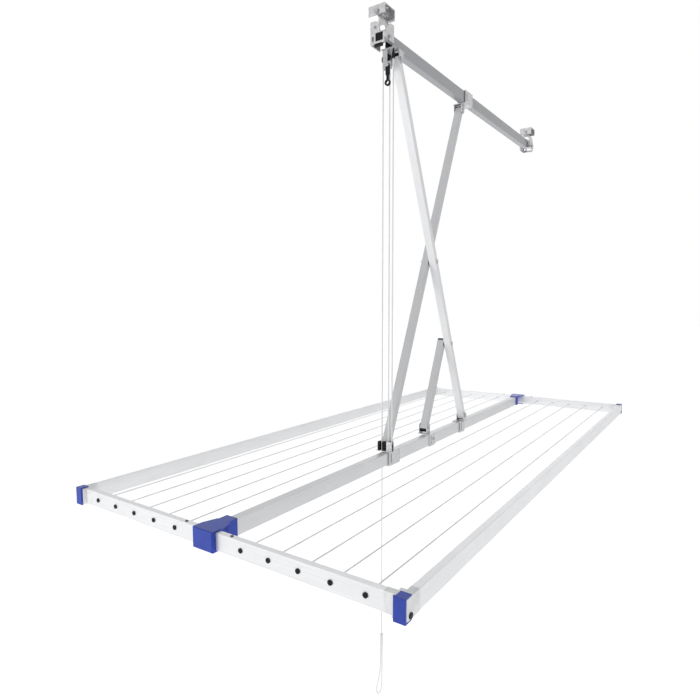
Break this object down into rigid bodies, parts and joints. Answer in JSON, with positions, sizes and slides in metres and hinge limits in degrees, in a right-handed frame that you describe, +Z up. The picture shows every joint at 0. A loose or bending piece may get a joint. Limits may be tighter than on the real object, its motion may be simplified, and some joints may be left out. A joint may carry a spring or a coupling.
{
  "type": "ceiling mounted pulley rack",
  "caption": "Ceiling hung clothes drying rack: a lined rectangular frame on a scissor of flat arms under a ceiling rail, raised by a cord over pulleys.",
  "frame": {"origin": "ceiling plane, midway between the two ceiling brackets, above the middle of the ceiling rail", "axes": "+Z up, +Y along the ceiling rail away from the cord end, +X across the rail to the right"},
  "size_m": [0.703, 1.5535, 1.5674],
  "materials": {
    "rail_aluminium": "satin anodised",
    "arm_aluminium": "satin anodised",
    "bracket_steel": "zinc plated sheet",
    "fixing_steel": "bright zinc plated",
    "blue_plastic": "smooth moulded",
    "white_plastic": "fine grained moulded",
    "black_plastic": "moulded",
    "grey_plastic": "moulded",
    "cord_fibre": "braided",
    "line_coating": "plastic coated line"
  },
  "bodies": {
    "top_frame": {"top_rail": "rail_aluminium", "near_ceiling_bracket": "bracket_steel", "far_ceiling_bracket": "bracket_steel", "near_hanger": "bracket_steel", "far_hanger": "bracket_steel", "rail_straps": "bracket_steel", "rail_plugs": "black_plastic", "end_pad": "black_plastic", "hanger_bolts": "fixing_steel", "cross_bolts": "fixing_steel", "bolt_nuts": "fixing_steel", "fixed_pivot_bracket": "bracket_steel", "rail_rivets": "fixing_steel", "fixed_pivot_pin": "fixing_steel", "sheave_housing": "grey_plastic", "sheave_axle": "fixing_steel", "cord_lock_pin": "fixing_steel", "cord_anchor": "black_plastic", "hand_cord": "cord_fibre", "hand_knot": "cord_fibre", "hand_loop": "cord_fibre", "lift_falls": "cord_fibre"},
    "sheave_wheel": {"ceiling_sheave": "black_plastic"},
    "cord_lock": {"cord_lock_lever": "black_plastic"},
    "front_arm": {"front_long_arm": "arm_aluminium", "front_arm_plugs": "black_plastic", "arm_rivets": "fixing_steel", "arm_spacers": "black_plastic"},
    "rear_arm": {"rear_long_arm": "arm_aluminium", "rear_arm_plugs": "black_plastic"},
    "short_link": {"short_arm": "arm_aluminium", "short_arm_plugs": "black_plastic"},
    "slider": {"rail_slider": "bracket_steel", "slider_pin": "fixing_steel"},
    "near_foot_group": {"near_foot": "bracket_steel", "near_foot_pin": "fixing_steel", "lifting_pulley_axle": "fixing_steel", "hand_cord_guide": "black_plastic", "pulley_cord_turn": "cord_fibre"},
    "pulley_wheel": {"lifting_pulley": "black_plastic"},
    "far_foot_group": {"far_foot": "bracket_steel", "far_foot_pin": "fixing_steel"},
    "drying_frame": {"centre_beam": "rail_aluminium", "middle_foot": "bracket_steel", "middle_foot_pin": "fixing_steel", "middle_foot_screws": "fixing_steel", "near_right_cross_rail": "rail_aluminium", "far_right_cross_rail": "rail_aluminium", "near_left_cross_rail": "rail_aluminium", "far_left_cross_rail": "rail_aluminium", "right_side_rail": "rail_aluminium", "left_side_rail": "rail_aluminium", "corner_connectors": "white_plastic", "corner_caps": "blue_plastic", "corner_screws": "fixing_steel", "centre_caps": "blue_plastic", "rail_joiners": "white_plastic", "joiner_screws": "fixing_steel", "line_bushes": "black_plastic", "drying_lines": "line_coating"}
  },
  "joints": [
    {"name": "lift", "type": "hinge", "parent": "top_frame", "child": "front_arm", "pos_m": [0, -0.455, -0.09], "axis": [1, 0, 0], "range_deg": [0, 46], "deforming": ["lift_falls"]},
    {"name": "crossing", "type": "hinge", "parent": "front_arm", "child": "rear_arm", "pos_m": [0, -0.2625, -0.51877], "axis": [1, 0, 0], "range_deg": [-92, 0]},
    {"name": "slider_pivot", "type": "hinge", "parent": "rear_arm", "child": "slider", "pos_m": [0, -0.07, -0.09], "axis": [1, 0, 0], "range_deg": [0, 46]},
    {"name": "near_foot_pivot", "type": "hinge", "parent": "rear_arm", "child": "near_foot_group", "pos_m": [0, -0.455, -0.94754], "axis": [1, 0, 0], "range_deg": [0, 46]},
    {"name": "far_foot_pivot", "type": "hinge", "parent": "front_arm", "child": "far_foot_group", "pos_m": [0, -0.07, -0.94754], "axis": [1, 0, 0], "range_deg": [-46, 0]},
    {"name": "short_arm_pivot", "type": "hinge", "parent": "front_arm", "child": "short_link", "pos_m": [0, -0.16625, -0.73316], "axis": [1, 0, 0], "range_deg": [-92, 0]},
    {"name": "middle_foot_pivot", "type": "hinge", "parent": "short_link", "child": "drying_frame", "pos_m": [0, -0.2625, -0.94754], "axis": [1, 0, 0], "range_deg": [0, 46]},
    {"name": "sheave_turn", "type": "hinge", "parent": "top_frame", "child": "sheave_wheel", "pos_m": [-0.0035, -0.478, -0.093], "axis": [0, 1, 0], "continuous": true},
    {"name": "pulley_turn", "type": "hinge", "parent": "near_foot_group", "child": "pulley_wheel", "pos_m": [0.0095, -0.478, -0.94754], "axis": [0, 1, 0], "continuous": true},
    {"name": "cord_lock_swing", "type": "hinge", "parent": "top_frame", "child": "cord_lock", "pos_m": [0.004, -0.4855, -0.11], "axis": [0, 1, 0], "range_deg": [-20, 20]}
  ],
  "couplings": [
    {"joint": "crossing", "follows": "lift", "ratio": -2},
    {"joint": "slider_pivot", "follows": "lift", "ratio": 1},
    {"joint": "near_foot_pivot", "follows": "lift", "ratio": 1},
    {"joint": "far_foot_pivot", "follows": "lift", "ratio": -1},
    {"joint": "short_arm_pivot", "follows": "lift", "ratio": -2},
    {"joint": "middle_foot_pivot", "follows": "lift", "ratio": 1}
  ]
}
